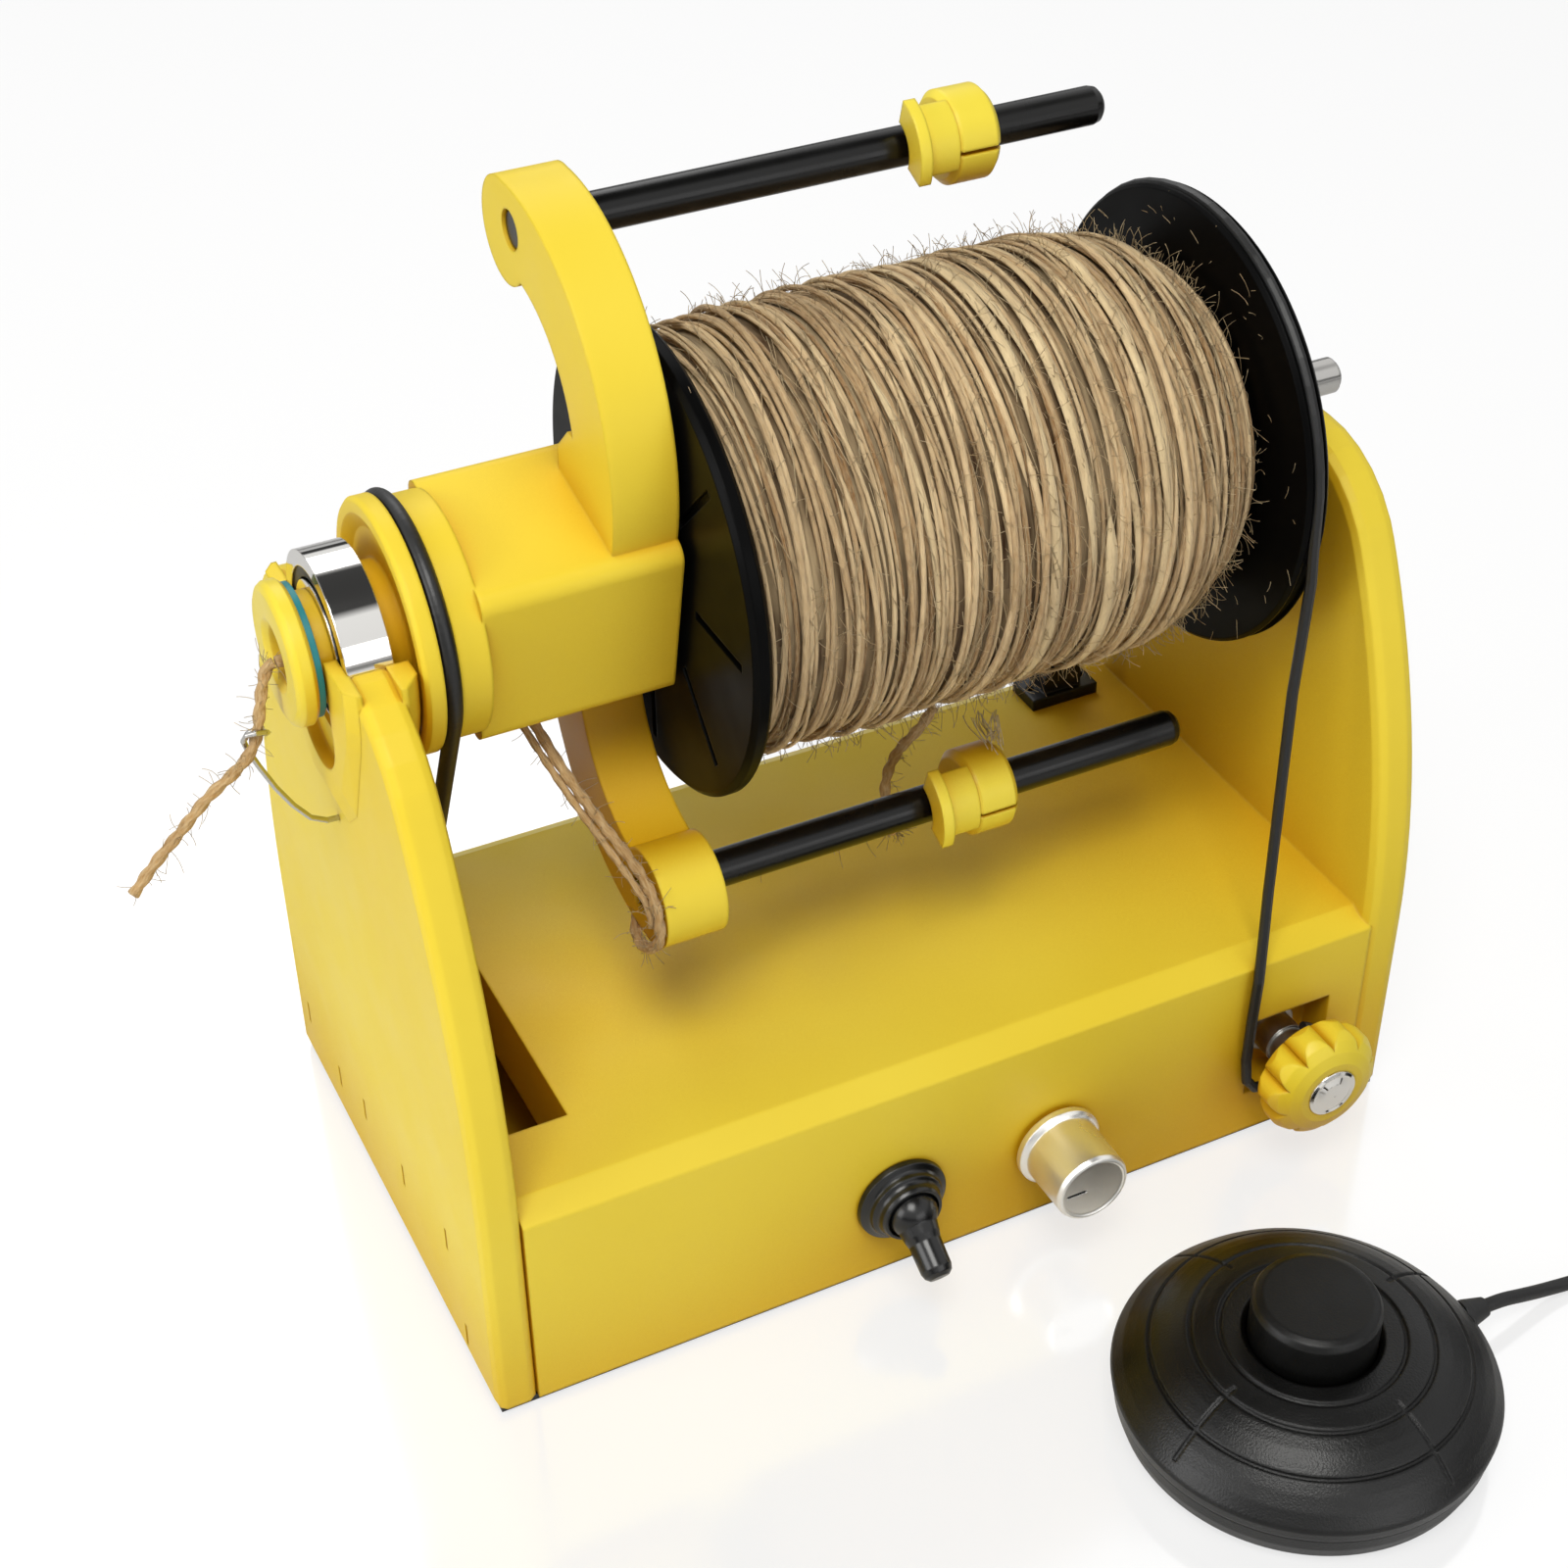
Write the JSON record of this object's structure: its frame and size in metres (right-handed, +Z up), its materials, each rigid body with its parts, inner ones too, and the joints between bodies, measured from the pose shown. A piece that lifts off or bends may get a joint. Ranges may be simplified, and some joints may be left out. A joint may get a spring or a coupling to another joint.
{
  "type": "electric yarn spinner",
  "caption": "Belt-driven spinning flyer and bobbin between two arched uprights on a box base, with a bobbin brake, speed and direction controls and a foot pedal.",
  "frame": {"origin": "centre of the base's footprint, on the table", "axes": "+X along the spindle from the orifice to the tail end, +Z up; the control panel faces -Y"},
  "size_m": [0.3298, 0.2411, 0.2271],
  "materials": {
    "yellow_plastic": "glossy",
    "black_gloss_plastic": "glossy",
    "black_matte_plastic": "satin, lightly grained",
    "steel": "satin",
    "chrome": "polished",
    "teal_rubber": "satin",
    "black_rubber": "satin",
    "jute_yarn": "spun fibre",
    "dark_plastic": "matte",
    "circuit_board": "satin"
  },
  "bodies": {
    "frame": {"base_housing": "yellow_plastic", "left_upright": "yellow_plastic", "frame_screws": "steel", "bottom_plate": "yellow_plastic", "base_pad": "black_rubber", "yarn_guide": "steel", "outer_race": "chrome", "bearing_balls": "steel", "bearing_seals": "black_rubber", "drive_belt": "black_rubber", "motor": "steel", "motor_bracket": "steel", "control_board": "circuit_board", "brake_cord": "black_rubber", "brake_spring": "steel", "brake_anchor": "black_matte_plastic", "tension_bush": "steel", "toggle_body": "dark_plastic", "panel_nuts": "steel", "toggle_boot": "black_rubber", "potentiometer": "dark_plastic", "power_jack": "black_matte_plastic", "pedal_socket": "black_matte_plastic", "pedal_base": "black_matte_plastic", "pedal_shell": "black_matte_plastic", "pedal_screws": "steel", "pedal_switch": "dark_plastic", "pedal_spring": "steel", "pedal_gland": "black_rubber", "pedal_cord": "black_rubber", "pedal_coil": "black_rubber", "pedal_plug": "black_matte_plastic", "yarn_tail": "jute_yarn"},
    "flyer": {"inner_race": "chrome", "orifice_nose": "yellow_plastic", "orifice_washer": "teal_rubber", "flyer": "yellow_plastic", "flyer_shaft": "steel", "guide_rods": "black_gloss_plastic", "yarn_hub_run": "jute_yarn", "yarn_rod_run": "jute_yarn"},
    "upper_hook": {"upper_hook": "yellow_plastic"},
    "lower_hook": {"lower_hook": "yellow_plastic", "yarn_pickup": "jute_yarn"},
    "bobbin": {"bobbin_core": "black_gloss_plastic", "front_flange": "black_gloss_plastic", "rear_flange": "black_gloss_plastic", "yarn_package": "jute_yarn"},
    "motor_rotor": {"motor_pulley": "black_matte_plastic", "motor_shaft": "steel"},
    "tension_knob": {"tension_spindle": "steel", "tension_knob": "yellow_plastic", "tension_cap": "chrome"},
    "toggle_lever": {"toggle_lever": "black_matte_plastic"},
    "speed_knob": {"speed_shaft": "steel", "speed_knob": "steel", "knob_pointer": "black_matte_plastic"},
    "pedal_button": {"pedal_button": "black_matte_plastic"}
  },
  "joints": [
    {"name": "flyer_spin", "type": "hinge", "parent": "frame", "child": "flyer", "pos_m": [0, 0, 0.153], "axis": [1, 0, 0], "continuous": true},
    {"name": "bobbin_spin", "type": "hinge", "parent": "flyer", "child": "bobbin", "pos_m": [0, 0, 0.153], "axis": [1, 0, 0], "continuous": true},
    {"name": "motor_spin", "type": "hinge", "parent": "frame", "child": "motor_rotor", "pos_m": [0, 0.044, 0.025], "axis": [1, 0, 0], "continuous": true},
    {"name": "upper_hook_slide", "type": "slide", "parent": "flyer", "child": "upper_hook", "axis": [1, 0, 0], "range_m": [-0.065, 0.024]},
    {"name": "lower_hook_slide", "type": "slide", "parent": "flyer", "child": "lower_hook", "axis": [1, 0, 0], "range_m": [-0.047, 0.041]},
    {"name": "toggle_tilt", "type": "hinge", "parent": "frame", "child": "toggle_lever", "pos_m": [-0.017, -0.0692, 0.0215], "axis": [-1, 0, 0], "range_deg": [0, 62]},
    {"name": "speed_knob_turn", "type": "hinge", "parent": "frame", "child": "speed_knob", "pos_m": [0.0209, -0.064, 0.0215], "axis": [0, 1, 0], "range_deg": [-60, 240]},
    {"name": "tension_knob_turn", "type": "hinge", "parent": "frame", "child": "tension_knob", "pos_m": [0.0817, -0.064, 0.024], "axis": [0, 1, 0], "range_deg": [-180, 180]},
    {"name": "pedal_press", "type": "slide", "parent": "frame", "child": "pedal_button", "axis": [0, 0, -1], "range_m": [0, 0.004], "stiffness_N_per_m": 500, "springref_m": -0.002, "deforming": ["pedal_spring"]}
  ],
  "couplings": [
    {"joint": "motor_spin", "follows": "flyer_spin", "ratio": 3.0375}
  ]
}
